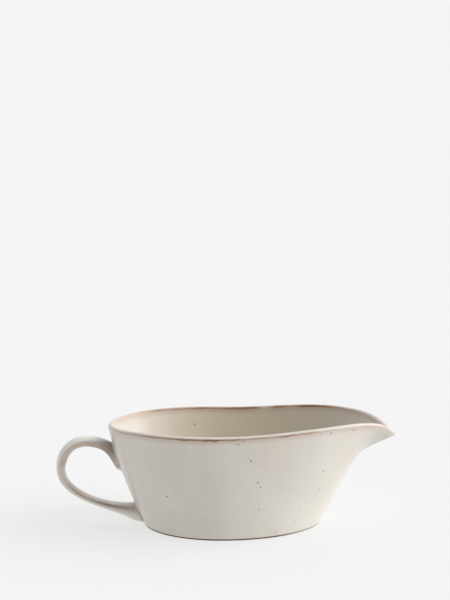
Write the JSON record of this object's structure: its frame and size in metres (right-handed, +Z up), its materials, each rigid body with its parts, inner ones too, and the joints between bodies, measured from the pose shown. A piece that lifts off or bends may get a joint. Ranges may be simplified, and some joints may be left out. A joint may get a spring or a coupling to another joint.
{
  "type": "gravy boat",
  "caption": "Egg-shaped stoneware pouring boat with a drawn-out spout, a looped strap handle at the back and a bare clay foot ring.",
  "frame": {"origin": "on the table, at the middle of the overall length and of the width", "axes": "+X towards the spout tip, -X towards the handle, +Y across the bowl, +Z up"},
  "size_m": [0.22, 0.098, 0.0712],
  "materials": {
    "glaze": "satin gloss",
    "bare_clay": "matt"
  },
  "bodies": {
    "root": {"bowl": "glaze", "foot_ring": "bare_clay", "handle": "glaze", "upper_slip_joint": "glaze", "lower_slip_joint": "glaze"}
  },
  "joints": []
}
